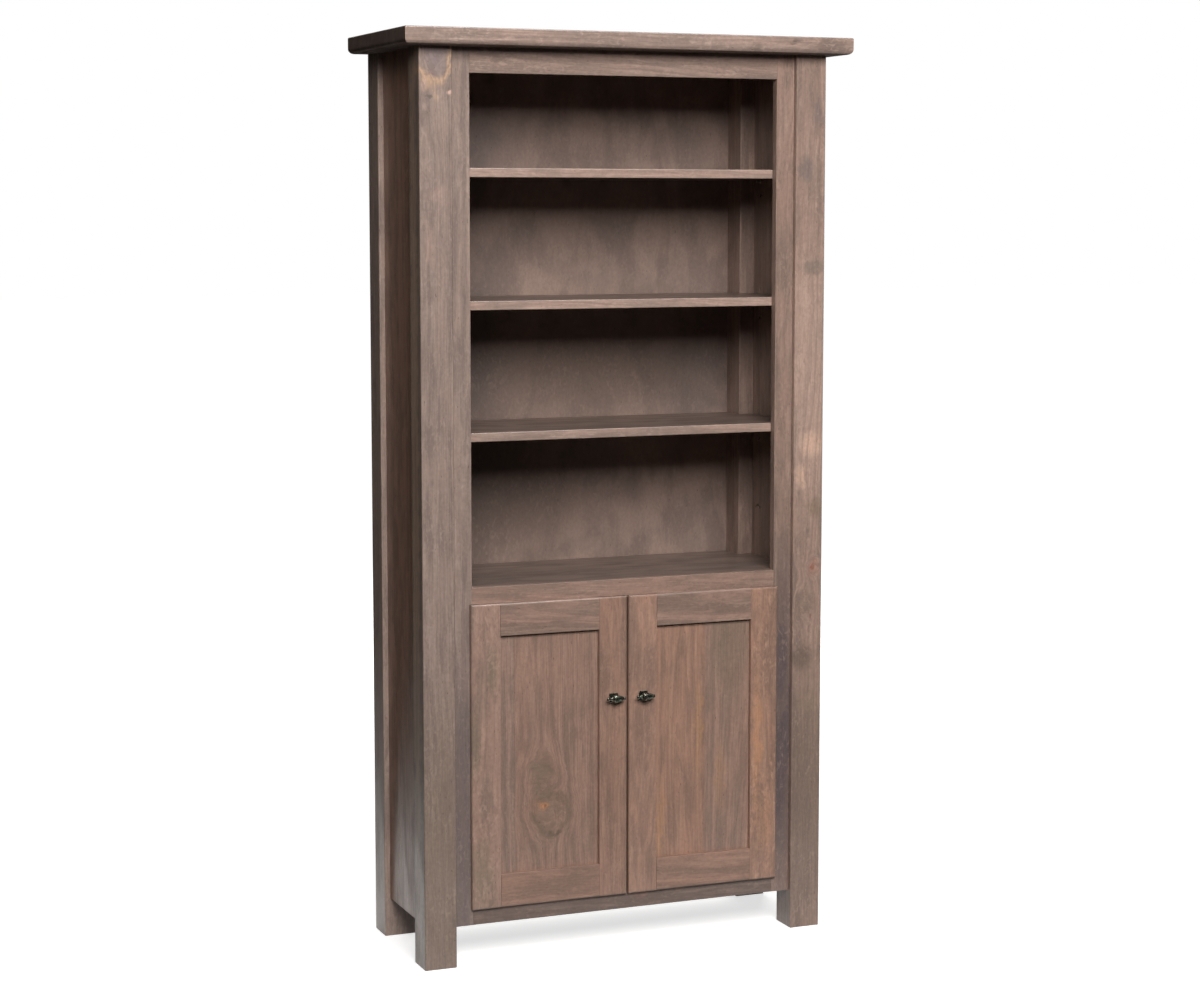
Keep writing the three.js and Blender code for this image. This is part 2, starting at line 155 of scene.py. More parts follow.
# Studio: the unlit room round the pale floor, hung with black cotton. The camera never sees it,
# but the varnish and the bronze mirror it, which keeps the shaded wood dark.
ROOM_LEFT, ROOM_RIGHT, ROOM_FRONT, ROOM_BACK = -3.0, 6.0, -7.0, 18.0
PALE_LEFT, PALE_FRONT, PALE_BACK = -0.8, -0.8, 4.0
WALL_HEIGHT = 12.0
FLOOR_CLEARANCE = 0.002
ROOM_CORNERS = [
    (ROOM_RIGHT, ROOM_BACK), (ROOM_RIGHT, ROOM_FRONT), (ROOM_LEFT, ROOM_FRONT), (ROOM_LEFT, ROOM_BACK),
]
DARK_FLOORS = [
    ((ROOM_LEFT, ROOM_FRONT), (ROOM_RIGHT, PALE_FRONT)),
    ((ROOM_LEFT, PALE_FRONT), (PALE_LEFT, PALE_BACK)),
    ((ROOM_LEFT, PALE_BACK), (ROOM_RIGHT, ROOM_BACK)),
]
black_drape = bpy.data.materials.new("black_cotton_drape")
tree = blank_tree(black_drape)
cotton = add(tree, "BsdfDiffuse", {"Color": linear("1C1C1C")})
add(tree, "OutputMaterial", {"Surface": cotton})

bm = bmesh.new()
for (x1, y1), (x2, y2) in zip(ROOM_CORNERS, ROOM_CORNERS[1:] + ROOM_CORNERS[:1]):
    corners = [(x1, y1, 0), (x2, y2, 0), (x2, y2, WALL_HEIGHT), (x1, y1, WALL_HEIGHT)]
    bm.faces.new([bm.verts.new(corner) for corner in corners])
for (x1, y1), (x2, y2) in DARK_FLOORS:
    corners = [(x1, y1), (x2, y1), (x2, y2), (x1, y2)]
    bm.faces.new([bm.verts.new((x, y, FLOOR_CLEARANCE)) for x, y in corners])
studio = new_object("dark_studio", bm, black_drape)
studio.visible_camera = False
studio.visible_diffuse = False
studio.visible_shadow = False

# Lamps: one wide soft box, in front and above the case. The left side of the case stays in shade.
# A weaker one behind the case and to its right lights the sides that the photograph doesn't show.
# Glints in the varnish and the bronze come from two boxes that light nothing else.
FRONT_BOX = {"place": (-0.9, -4.6, 3.6), "aim": (0, 0, 1.3), "size": (3.0, 2.2)}
REAR_BOX = {"place": (1.6, 4.2, 3.2), "aim": (0, 0, 1.0), "size": (2.5, 2.0)}
OVERHEAD_BOX = {"place": (-0.3, -1.3, 4.4), "aim": (0, 0, 0.7), "size": (3.6, 1.2)}
LAMPS = {
    "front_soft_box": {**FRONT_BOX, "watts": 325, "glints": False},
    "rear_soft_box": {**REAR_BOX, "watts": 150, "glints": False},
    "front_glint_box": {**FRONT_BOX, "watts": 70, "glints": True},
    "overhead_glint_box": {**OVERHEAD_BOX, "watts": 260, "glints": True},
}
for name, lamp in LAMPS.items():
    light = bpy.data.lights.new(name, "AREA")
    light.shape = "RECTANGLE"
    light.size, light.size_y = lamp["size"]
    light.energy = lamp["watts"]
    light.color = linear("FFFFFF")[:3]
    box = bpy.data.objects.new(name, light)
    box.location = lamp["place"]
    box.rotation_euler = (Vector(lamp["aim"]) - box.location).to_track_quat("-Z", "Y").to_euler()
    box.visible_camera = False
    box.visible_diffuse = not lamp["glints"]
    box.visible_glossy = lamp["glints"]
    bpy.context.collection.objects.link(box)

# Top slab: three cherry boards glued edge to edge, with a large round-over run along the lower
# edge, the upper edge only eased, and end grain at both ends.
MM = 0.001
NEAR = 0.01 * MM
FLAT_ANGLE = math.radians(1)
GRAIN_TURN = {"z": (0.0, 0.0), "x": (0.0, math.pi / 2), "y": (-math.pi / 2, 0.0)}
GRAIN_AXIS = {"x": (1, 0, 0), "y": (0, 1, 0), "z": (0, 0, 1)}
GRAIN_LEAN = 0.03
COOL_STAIN = {"body": "9A877D", "deep": "7E6F68", "pale": "B29F94"}
WARM_STAIN = {"body": "A37E6C", "deep": "846A5C", "pale": "B8937E"}
GUM = "3C2D26"
VARNISH_IOR = 1.5
VARNISH_ROUGHNESS = (0.3, 0.42)
UNDERSIDE_ROUGHNESS = 0.9
END_GRAIN_SHADE = 0.52
UNDERSIDE_SHADE = 0.5

# Sizes in the wood's figure, in millimetres. A pair is across and along the grain
RING_WIDTH = 5.5
BAND_WIDTH = 13
LOG_BENDS = [  # patch and sway
    ((150, 700), 40), ((32, 150), 8),
]
STREAKS = [  # patch, the range of the noise that shows, how strongly, and the tone
    ((8, 170), (0.48, 0.72), 0.36, "pale"), ((6, 90), (0.5, 0.75), 0.32, "deep"),
]
CURL_ZONE, CURL_DAB = (60, 110), (8, 15)
FIBRE, MOTTLE, GUM_FLECK = (2.2, 40), (5, 7), (2.4, 11)
MARK_SWAYS = [  # patch and sway of a mark's uneven outline
    (30, 34), (8, 10),
]
MARK_DEPTH = 60
body_of = {}
for body, nodes in frame["record"]["behaviour"]["bodies"].items():
    for node in nodes:
        body_of[node] = body


def stain_tones(warm, light):
    """The body, deep and pale tones of the stain, mixed from the cool and the warm one."""
    tones = {}
    for tone, cool_colour in COOL_STAIN.items():
        ends = zip(linear(cool_colour, light), linear(WARM_STAIN[tone], light))
        tones[tone] = [cool + (hot - cool) * warm for cool, hot in ends]
    return tones


def grain_noise(tree, log, shift, patch, detail=2.0, distortion=0.0):
    """Noise in patches of about so many millimetres across and along the grain."""
    across, along = patch
    stretch = [1 / (size * MM) for size in (across, across, along)]
    at = add(tree, "VectorMath", {0: log, 1: stretch, 2: shift}, operation="MULTIPLY_ADD")
    return add(tree, "TexNoise", {"Vector": at, "Scale": 1.0, "Detail": detail, "Distortion": distortion})


def bent_log(tree, log, shift):
    """The log as it grew: it wanders slowly along its length, and ripples."""
    bent = log
    for patch, sway in LOG_BENDS:
        drift = grain_noise(tree, log, shift, patch).outputs["Color"]
        bent = add(tree, "VectorMath", {0: drift, 1: (sway * MM, sway * MM, 0), 2: bent},
                   operation="MULTIPLY_ADD")
    return bent


def mark_distances(tree, place, marks):
    """For each mark, the way out from its middle, and its reach, which is 1 on its uneven rim."""
    if not marks:
        return []
    uneven = place
    for size, sway in MARK_SWAYS:
        blur = add(tree, "TexNoise", {"Vector": place, "Scale": 1 / (size * MM), "Detail": 2.0})
        uneven = add(tree, "VectorMath", {0: blur.outputs["Color"], 1: (sway * MM,) * 3, 2: uneven},
                     operation="MULTIPLY_ADD")
    mean_sway = sum(sway for _, sway in MARK_SWAYS) / 2 * MM
    distances = []
    for mark in marks:
        centre = Vector(mark["place"]) + Vector((mean_sway,) * 3)
        away = add(tree, "VectorMath", {0: uneven, 1: centre}, operation="SUBTRACT")
        squeeze = [1 / (size * MM) for size in mark["size"]]
        squeezed = add(tree, "VectorMath", {0: away, 1: squeeze}, operation="MULTIPLY")
        distances.append((away, add(tree, "VectorMath", {0: squeezed}, operation="LENGTH")))
    return distances


def flow_round_knots(tree, bent, marks, distances):
    """The log and its rings' radius, with the grain flowing round each mark that pushes it."""
    swell = 0.0
    for mark, (away, reach) in zip(marks, distances):
        if "push" in mark:
            pull = add(tree, "MapRange", {0: reach, 1: 0.2, 2: 2.0, 3: -0.8, 4: 0.0}, **EASED)
            aside = add(tree, "VectorMath", {0: away, 1: (1, 0, 0)}, operation="MULTIPLY")
            aside = add(tree, "VectorMath", {0: aside, 3: pull}, operation="SCALE")
            bent = add(tree, "VectorMath", {0: bent, 1: aside}, operation="ADD")
            push = mark["push"] * MM
            rise = add(tree, "MapRange", {0: reach, 1: 0.0, 2: 1.5, 3: push, 4: 0.0}, **EASED)
            swell = add(tree, "Math", {0: swell, 1: rise}, operation="ADD")
    flat = add(tree, "VectorMath", {0: bent, 1: (1, 1, 0)}, operation="MULTIPLY")
    radius = add(tree, "VectorMath", {0: flat}, operation="LENGTH")
    return bent, add(tree, "Math", {0: radius, 1: swell}, operation="ADD")


def stained_cherry(name, heart, grain, warm=0.5, deep=0.5, light=1.0, curl=0.5, fine=1.0,
                   patch=(38, 120), marks=()):
    """Rustic cherry, planed, wiped with a grey-brown stain and sprayed with satin varnish.

    It gives soft patches and streaks along the grain, fine growth rings round the heart of the
    log, a mottled curl, and a few dark gum flecks. warm and deep run from 0 to 1, and say how
    reddish a board is and how much of it took the stain deeply. patch is how wide and long the
    patches are, in millimetres. Ring and fibre widths are drawn somewhat coarser than real
    cherry's, so that they show from a few metres away. marks are knots and stains, and in some
    places painted shade or painted light, with soft, uneven outlines, each an ellipse or, with
    "ring", its rim.
    """
    rng = random.Random(name)
    lean = [rng.uniform(-GRAIN_LEAN, GRAIN_LEAN) for _ in range(2)]
    shift = [rng.uniform(5, 50) for _ in range(3)]
    stain = stain_tones(warm, light)
    material = bpy.data.materials.new(name)
    tree = blank_tree(material)
    surface = add(tree, "TexCoord").outputs
    turn = [along + tilt for along, tilt in zip(GRAIN_TURN[grain], lean)] + [0]
    log = add(tree, "Mapping", {"Vector": surface["Object"], "Location": heart, "Rotation": turn},
              vector_type="TEXTURE")
    distances = mark_distances(tree, surface["Object"], marks)
    bent, radius = flow_round_knots(tree, bent_log(tree, log, shift), marks, distances)

    # Broad patches that follow the rings, and streaks. Each layer is a pattern, the range of it
    # that shows, the layer's strength at the ends of that range, and its colour
    band_at = add(tree, "Math", {0: radius, 1: 1 / (BAND_WIDTH * MM), 2: shift[0]}, operation="MULTIPLY_ADD")
    band = add(tree, "TexNoise", {"W": band_at, "Scale": 1.0, "Detail": 3.0}, noise_dimensions="1D")
    patches = grain_noise(tree, bent, shift, patch, detail=3.0, distortion=0.5)
    tone = add(tree, "Math", {0: band, 1: 0.8, 2: patches}, operation="MULTIPLY_ADD")
    edge = 1.07 - 0.35 * deep
    layers = [(tone, (edge - 0.16, edge + 0.16), (0.0, 0.85), stain["deep"])]
    for size, shown, strength, role in STREAKS:
        layers.append((grain_noise(tree, bent, shift, size), shown, (0.0, strength * fine), stain[role]))

    # Marks, and over them the curl: pale and deep dabs, stronger in some zones than in others
    for mark, (_, reach) in zip(marks, distances):
        pattern, shown = reach, (0.35, 1.2)
        if "ring" in mark:
            off_rim = add(tree, "Math", {0: reach, 1: 1.0}, operation="SUBTRACT")
            pattern, shown = add(tree, "Math", {0: off_rim}, operation="ABSOLUTE"), (0.0, mark["ring"])
        layers.append((pattern, shown, (mark["amount"], 0.0), linear(mark["colour"], light)))
    zones = grain_noise(tree, bent, shift, CURL_ZONE)
    curling = add(tree, "MapRange", {0: zones, 1: 0.38, 2: 0.6, 3: 0.18 * curl, 4: 0.6 * curl}, **EASED)
    dabs = grain_noise(tree, bent, shift, CURL_DAB, distortion=1.0)
    layers.append((dabs, (0.5, 0.7), (0.0, curling), stain["pale"]))
    layers.append((dabs, (0.5, 0.32), (0.0, curling), stain["deep"]))
    colour = stain["body"]
    for pattern, (start, end), (first, last), over in layers:
        amount = add(tree, "MapRange", {0: pattern, 1: start, 2: end, 3: first, 4: last}, **EASED)
        colour = add(tree, "Mix", {0: amount, 6: colour, 7: over}, data_type="RGBA")

    # Growth rings, fibre and a fine mottle, and dark flecks of gum
    rings = add(tree, "Math", {0: radius, 1: RING_WIDTH * MM}, operation="DIVIDE")
    rings = add(tree, "Math", {0: band, 1: 2.0, 2: rings}, operation="MULTIPLY_ADD")
    rings = add(tree, "Math", {0: rings}, operation="FRACT")
    ring_line = add(tree, "MapRange", {0: rings, 1: 0.3, 2: 0.95, 3: 0.0, 4: 0.4 * fine}, **EASED)
    colour = add(tree, "Mix", {0: ring_line, 6: colour, 7: stain["deep"]}, data_type="RGBA")
    fibre = grain_noise(tree, bent, shift, FIBRE)
    mottle = grain_noise(tree, bent, shift, MOTTLE)
    for pattern, darkest, lightest in ((fibre, 1 - 0.08 * fine, 1 + 0.07 * fine), (mottle, 0.94, 1.05)):
        shade = add(tree, "MapRange", {0: pattern, 1: 0.3, 2: 0.7, 3: darkest, 4: lightest}, **EASED)
        colour = add(tree, "VectorMath", {0: colour, 3: shade}, operation="SCALE")
    flecks = grain_noise(tree, bent, shift, GUM_FLECK, detail=1.0)
    amount = add(tree, "MapRange", {0: flecks, 1: 0.73, 2: 0.79, 3: 0.0, 4: 0.55}, **EASED)
    colour = add(tree, "Mix", {0: amount, 6: colour, 7: linear(GUM, light)}, data_type="RGBA")

    # End grain drinks more stain. Faces that point down are darkened too, as painted shade
    facing = add(tree, "VectorMath", {0: surface["Normal"], 1: GRAIN_AXIS[grain]}, operation="DOT_PRODUCT")
    end_grain = add(tree, "Math", {0: facing}, operation="ABSOLUTE")
    down = add(tree, "VectorMath", {0: surface["Normal"], 1: (0, 0, -1)}, operation="DOT_PRODUCT")
    under = add(tree, "MapRange", {0: down, 1: 0.5, 2: 0.95}, **EASED)
    for pattern, darkest in ((end_grain, END_GRAIN_SHADE), (under, UNDERSIDE_SHADE)):
        shade = add(tree, "MapRange", {0: pattern, 1: 0.6, 2: 0.95, 3: 1.0, 4: darkest}, **EASED)
        colour = add(tree, "VectorMath", {0: colour, 3: shade}, operation="SCALE")

    # The varnish sinks a little into the grain. Undersides got a thinner, duller coat
    height = add(tree, "Math", {0: fibre, 1: ring_line}, operation="SUBTRACT")
    relief = add(tree, "Bump", {"Strength": 0.25, "Distance": 0.15 * MM, "Height": height})
    smoothest, roughest = VARNISH_ROUGHNESS
    sheen = add(tree, "MapRange", {0: patches, 1: 0.3, 2: 0.7, 3: smoothest, 4: roughest}, **EASED)
    thin_coat = add(tree, "Math", {0: under, 1: UNDERSIDE_ROUGHNESS}, operation="MULTIPLY")
    dull = add(tree, "Math", {0: sheen, 1: thin_coat}, operation="MAXIMUM")
    varnish = add(tree, "BsdfPrincipled", {"Base Color": colour, "Roughness": dull, "IOR": VARNISH_IOR,
                                           "Normal": relief})
    add(tree, "OutputMaterial", {"Surface": varnish})
    return material


def on_front(node, marks):
    """Puts marks on a board's front: each one's spot on it is (x, z), and its size (across, up)."""
    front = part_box(node)[0].y
    placed = []
    for mark in marks:
        (x, z), (across, up) = mark["spot"], mark["size"]
        placed.append({**mark, "place": (x, front, z), "size": (across, MARK_DEPTH, up)})
    return placed


def heart_behind(node, rng, depth=(45, 95), spread=30):
    """A heart for a board whose show face is at the front: behind it, and a little to one side."""
    low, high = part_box(node)
    middle = (low + high) / 2
    return middle + Vector((rng.uniform(-spread, spread), rng.uniform(*depth), 0)) * MM


def heart_below(node, rng, depth=(45, 95), spread=30):
    """A heart for a board whose show face is its top."""
    low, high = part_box(node)
    middle = (low + high) / 2
    return middle + Vector((0, rng.uniform(-spread, spread), -rng.uniform(*depth))) * MM


def arrises(bm, low, high, words):
    """The edges that lie on two sides of the box from low to high, such as "front top"."""
    sides = {"left": (0, low.x), "right": (0, high.x), "front": (1, low.y), "back": (1, high.y),
             "bottom": (2, low.z), "top": (2, high.z)}
    planes = [sides[word] for word in words.split()]
    return [edge for edge in bm.edges
            if all(abs(vert.co[axis] - place) < NEAR for vert in edge.verts for axis, place in planes)]


def merged_copy(node):
    """A bmesh of a CAD node, with its loose triangles merged into whole faces."""
    bm = bmesh.new()
    bm.from_mesh(frame["nodes"][node].data)
    bmesh.ops.remove_doubles(bm, verts=bm.verts, dist=NEAR)
    bmesh.ops.dissolve_limit(bm, angle_limit=FLAT_ANGLE, verts=bm.verts, edges=bm.edges)
    return bm


def stand_for(made, node):
    """The made piece takes a CAD node's place and body."""
    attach(made, body_of[node])
    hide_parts(node)


def board(node, woods, eased=None, glue_axis=0, glue_lines=()):
    """A copy of a CAD board with its arrises eased, stained, in the board's place.

    eased gives the radius in millimetres of each arris, such as {"front top": 6.0}. A board that
    is glued up of several has a wood for each, parted at glue_lines along the axis of that number.
    """
    low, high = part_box(node)
    bm = merged_copy(node)
    across = Vector([axis == glue_axis for axis in range(3)])
    for line in glue_lines:
        bmesh.ops.bisect_plane(bm, geom=bm.verts[:] + bm.edges[:] + bm.faces[:],
                               plane_co=across * line, plane_no=across)
    for face in bm.faces:
        face.material_index = sum(face.calc_center_median()[glue_axis] > line for line in glue_lines)
    widest = max(eased.values()) if eased else 0.0
    weights = bm.edges.layers.float.new("bevel_weight_edge")
    for words, radius in (eased or {}).items():
        for edge in arrises(bm, low, high, words):
            edge[weights] = radius / widest
    made = new_object(node + "_wood", bm, *woods)
    if eased:
        rounding = made.modifiers.new("eased_arrises", "BEVEL")
        rounding.limit_method = "WEIGHT"
        rounding.width = widest * MM
        rounding.segments = 4
        rounding.profile = 0.5
        rounding.harden_normals = True
    stand_for(made, node)


SLAB_EASE = {"front top": 2.0, "left top": 2.0, "right top": 2.0, "back top": 2.0}
SLAB_GLUE_LINES = (118, 262)  # millimetres behind the front edge
SLAB_LIGHTS = (1.17, 1.1, 1.15)
HEART_SPACING = 0.13
slab_blots = on_front("top_panel", [
    {"spot": (0.44, 1.915), "size": (60, 24), "colour": "6A5B54", "amount": 0.7},
    {"spot": (0.36, 1.926), "size": (26, 8), "colour": "6A5B54", "amount": 0.7},
    {"spot": (0.27, 1.912), "size": (20, 9), "colour": "6E5F57", "amount": 0.6},
    {"spot": (0.1, 1.926), "size": (34, 6), "colour": "75665C", "amount": 0.5},
    {"spot": (-0.05, 1.912), "size": (26, 7), "colour": "75665C", "amount": 0.5},
    {"spot": (-0.36, 1.926), "size": (40, 7), "colour": "75665C", "amount": 0.5},
])
lines = [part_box("top_panel")[0].y + line * MM for line in SLAB_GLUE_LINES]
woods = []
for index, light in enumerate(SLAB_LIGHTS):
    name = f"stained_cherry_top_{index + 1}"
    heart = heart_below("top_panel", random.Random(name)) + Vector((0, (index - 1) * HEART_SPACING, 0))
    woods.append(stained_cherry(name, heart, "x", warm=0.3, light=light, curl=0.8, marks=slab_blots))
board("top_panel", woods, SLAB_EASE, glue_axis=1, glue_lines=lines)

# Posts: four square legs, 70 mm thick, planed from solid cherry, with rounded arrises. Grooves in
# them take the side panels. A crotch figure shows near the top of the left one, and a small
# reddish knot below the middle of the right one.
POST_EASE = {words: 3.0 for words in ("left front", "right front", "left back", "right back")}
POST_EASE.update({words: 1.5 for words in ("left bottom", "right bottom", "front bottom", "back bottom")})
POST_HEART = {"depth": (20, 60), "spread": 20}
left_post_marks = on_front("front_left_post", [
    {"spot": (-0.42, 1.893), "size": (32, 52), "colour": "8C7C7B", "amount": 0.8, "push": 12},
    {"spot": (-0.425, 1.895), "size": (38, 68), "colour": "C3A083", "amount": 0.85, "ring": 0.2},
    {"spot": (-0.4325, 1.842), "size": (12, 5), "colour": "876E6E", "amount": 0.6},
    {"spot": (-0.396, 1.807), "size": (5, 8), "colour": "DDB3A2", "amount": 0.8},
    {"spot": (-0.4446, 1.826), "size": (8, 12), "colour": "C6A595", "amount": 0.6},
    {"spot": (-0.421, 1.805), "size": (7, 16), "colour": "BA9C85", "amount": 0.7},
    {"spot": (-0.4372, 1.8009), "size": (9, 6), "colour": "6C6058", "amount": 0.9, "push": 5},
    {"spot": (-0.4458, 1.7751), "size": (12, 10), "colour": "B49A90", "amount": 0.5},
    {"spot": (-0.4179, 1.6023), "size": (20, 24), "colour": "B09287", "amount": 0.5},
    {"spot": (-0.4351, 1.4999), "size": (10, 45), "colour": "AD9084", "amount": 0.5},
    {"spot": (-0.42, 0.2), "size": (70, 420), "colour": "817061", "amount": 0.6},
])
# Painted light: the shaded left side of the front left post is made paler, so that it reads as lit.
painted_light_on_post_side = {"place": (-0.457, -0.11, 0.97), "size": (30, 32, 1300), "colour": "C7A890", "amount": 0.9}
right_post_marks = on_front("front_right_post", [
    {"spot": (0.4385, 0.8012), "size": (16, 26), "colour": "A87F6E", "amount": 0.6, "push": 12},
    {"spot": (0.4385, 0.8012), "size": (6, 8), "colour": "8E5747", "amount": 0.7},
    {"spot": (0.415, 0.72), "size": (26, 40), "colour": "75655A", "amount": 0.5, "push": 10},
    {"spot": (0.43, 0.695), "size": (4, 7), "colour": "7E5248", "amount": 0.7},
    {"spot": (0.439, 1.78), "size": (14, 40), "colour": "6E6260", "amount": 0.6},
    {"spot": (0.42, 1.2), "size": (60, 330), "colour": "BFA292", "amount": 0.55},
    {"spot": (0.43, 1.07), "size": (30, 34), "colour": "D2AD98", "amount": 0.8},
    {"spot": (0.405, 1.0), "size": (18, 30), "colour": "CDA994", "amount": 0.8},
    {"spot": (0.44, 0.93), "size": (24, 26), "colour": "85725F", "amount": 0.75},
    {"spot": (0.41, 1.66), "size": (24, 30), "colour": "766964", "amount": 0.7},
    {"spot": (0.43, 1.45), "size": (26, 22), "colour": "7E6F66", "amount": 0.7},
    {"spot": (0.41, 0.6), "size": (34, 30), "colour": "685A4F", "amount": 0.7},
    {"spot": (0.43, 0.5), "size": (30, 26), "colour": "A08975", "amount": 0.7},
    {"spot": (0.42, 0.28), "size": (60, 330), "colour": "74655A", "amount": 0.6},
])
POST_LOOKS = {
    "front_left_post": {"warm": 0.15, "deep": 0.35, "marks": left_post_marks + [painted_light_on_post_side]},
    "front_right_post": {"warm": 0.45, "deep": 0.4, "light": 1.1, "curl": 0.6, "marks": right_post_marks},
    # Painted light: the rear left post is made lighter, so that its narrow front face reads as lit.
    "rear_left_post": {"warm": 0.15, "deep": 0.3, "light": 1.4},
    "rear_right_post": {"warm": 0.4, "deep": 0.5},
}
for node, look in POST_LOOKS.items():
    name = "stained_cherry_" + node
    heart = heart_behind(node, random.Random(name), **POST_HEART)
    board(node, [stained_cherry(name, heart, "z", **look)], POST_EASE)

# Side panels: two cherry boards glued up to fill the space between a front and a rear post, held
# in grooves. Their lower edges are open to view, and pin holes are drilled in their inner faces.
# The rim of the spare hole at the right is darkened with painted shade, so that the hole
# reads as a dark hollow.
PANEL_EASE = {"left bottom": 1.0, "right bottom": 1.0}
PANEL_GLUE_LINE = 0.55
painted_hole_shade = [
    {"place": (0.422, 0.0915, 0.906), "size": (12, 18, 5), "colour": "1E1512", "amount": 0.95},
]
PANEL_HEARTS = {"left": (0.07, 0.05, 0), "right": (-0.07, 0.05, 0)}
PANEL_LOOKS = {
    "left": {"warm": 1.0, "light": 1.2},
    "right": {"warm": 0.4, "light": 0.9, "marks": painted_hole_shade},
}
for side, look in PANEL_LOOKS.items():
    node = "side_panel_" + side
    low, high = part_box(node)
    heart = (low + high) / 2 + Vector(PANEL_HEARTS[side])
    woods = []
    for half, deep in (("front", 0.3), ("rear", 0.5)):
        woods.append(stained_cherry(f"stained_cherry_{node}_{half}", heart, "z", deep=deep, **look))
    line = low.y + PANEL_GLUE_LINE * (high.y - low.y)
    board(node, woods, PANEL_EASE, glue_axis=1, glue_lines=[line])

# Back board: cherry-faced plywood, peeled from the log, so its figure is broad and blotchy. The
# veneer on its rear face is plainer. It lies in rabbets in the rear posts.
low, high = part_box("back_board")
heart = (low + high) / 2 + Vector((0.05, 1.5, 0))
VENEER_PATCH = (90, 110)
# Painted shade: darker patches on the front veneer where shade falls in the bays, most of all at their left.
painted_shade_on_veneer = on_front("back_board", [
    {"spot": (-0.28, 1.72), "size": (190, 130), "colour": "6F6360", "amount": 0.6},
    {"spot": (-0.28, 1.2), "size": (170, 460), "colour": "665B56", "amount": 0.8},
    {"spot": (0.3, 1.2), "size": (120, 150), "colour": "6A5F5A", "amount": 0.6},
    {"spot": (0.06, 1.23), "size": (300, 150), "colour": "73635A", "amount": 0.65},
    {"spot": (-0.16, 0.96), "size": (230, 190), "colour": "6A5B53", "amount": 0.7},
])
front_veneer = stained_cherry("stained_cherry_plywood", heart, "z", warm=0.25, deep=0.45, light=0.9,
                              curl=0.3, fine=0.15, patch=VENEER_PATCH, marks=painted_shade_on_veneer)
rear_veneer = stained_cherry("stained_cherry_plywood_rear", heart, "z", warm=0.2, deep=0.3, light=0.85,
                             curl=0.2, fine=0.3, patch=VENEER_PATCH)
board("back_board", [front_veneer, rear_veneer], glue_axis=1,
      glue_lines=[(low.y + high.y) / 2])

# Face frame: 19 mm cherry boards set back between the posts. The rails are butted between the
# stiles, and the long arrises of both are lightly sanded.
left_slate = on_front("frame_stile_left", [
    {"spot": (-0.37, 0.3), "size": (40, 420), "colour": "6A5E5D", "amount": 0.8},
])
right_slate = on_front("frame_stile_right", [
    {"spot": (0.37, 0.42), "size": (40, 420), "colour": "5C5153", "amount": 0.9},
])
rosy = on_front("frame_bottom_rail", [
    {"spot": (-0.28, 0.117), "size": (26, 5), "colour": "A67C70", "amount": 0.6},
    {"spot": (0.03, 0.114), "size": (34, 7), "colour": "A67C70", "amount": 0.6},
    {"spot": (0.13, 0.112), "size": (22, 6), "colour": "B08A76", "amount": 0.6},
])
FRAME_LOOKS = {
    "frame_stile_left": {"grain": "z", "warm": 0.15, "deep": 0.5, "marks": left_slate},
    "frame_stile_right": {"grain": "z", "warm": 0.5, "deep": 0.5, "marks": right_slate},
    "frame_top_rail": {"grain": "x", "warm": 0.35, "deep": 0.5, "curl": 0.8},
    "frame_middle_rail": {"grain": "x", "warm": 0.6, "deep": 0.35, "light": 1.05},
    # Painted shade: the bottom rail is made darker, as it lies under the doors' lips.
    "frame_bottom_rail": {"grain": "x", "warm": 0.35, "deep": 0.8, "light": 0.7, "marks": rosy},
}
LONG_ARRISES = {
    "z": ("left front", "right front", "left back", "right back"),
    "x": ("front top", "front bottom", "back top", "back bottom"),
}
for node, look in FRAME_LOOKS.items():
    name = "stained_cherry_" + node
    heart = heart_behind(node, random.Random(name))
    wood = stained_cherry(name, heart, **look)
    board(node, [wood], {words: 1.0 for words in LONG_ARRISES[look["grain"]]})

# Fixed deck and cabinet floor: cherry boards, two in each, notched round the posts and fixed
# between the side panels. The deck's top is level with the middle rail.
DECK_EASE = {"front top": 0.5, "front bottom": 0.5}
for node in ("fixed_deck", "cabinet_floor"):
    woods = []
    for index in (1, 2):
        name = f"stained_cherry_{node}_{index}"
        heart = heart_below(node, random.Random(name))
        # Painted shade: these boards are made darker, for the deck's top in the shade of the bay.
        woods.append(stained_cherry(name, heart, "x", warm=0.2, deep=0.6, light=0.72, fine=0.6))
    low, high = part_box(node)
    board(node, woods, DECK_EASE, glue_axis=1, glue_lines=[(low.y + high.y) / 2])

# Adjustable shelves: loose cherry boards notched round the posts, lying on pins. Their front
# edges are rounded. The nosing is made paler, a painted highlight on the lit front edge, and the
# boards behind it darker, painted shade inside the bays. One more is inside the cabinet.
SHELVES = ("shelf_lower", "shelf_middle", "shelf_upper", "shelf_cabinet")
SHELF_NOSING = 2.2 * MM
SHELF_GLUE_LINE = 0.48
# The nosing's lightness is a painted highlight, and the boards' darkness is painted shade.
SHELF_BOARDS = [  # how deep the stain went and how light it is: nosing, front board, rear board
    (0.3, 1.25), (0.4, 0.65), (0.5, 0.65),
]
SHELF_EASE = {"front top": 2.0, "front bottom": 2.0, "back top": 1.0, "back bottom": 1.0}
for node in SHELVES:
    woods = []
    for index, (deep, light) in enumerate(SHELF_BOARDS):
        name = f"stained_cherry_{node}_{index}"
        heart = heart_below(node, random.Random(name))
        woods.append(stained_cherry(name, heart, "x", warm=0.35, deep=deep, light=light))
    low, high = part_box(node)
    lines = [low.y + SHELF_NOSING, low.y + SHELF_GLUE_LINE * (high.y - low.y)]
    board(node, woods, SHELF_EASE, glue_axis=1, glue_lines=lines)

# Screw cleats: cherry strips under the ends of the top, screwed to the side panels and up into
# the top. Their lower arrises are rounded.
CLEAT_EASE = {"left bottom": 1.5, "right bottom": 1.5}
CLEAT_HEART = Vector((0, 0, -0.06))
for node in ("top_cleat_left", "top_cleat_right"):
    low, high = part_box(node)
    wood = stained_cherry("stained_cherry_" + node, (low + high) / 2 + CLEAT_HEART, "y")
    board(node, [wood], CLEAT_EASE)

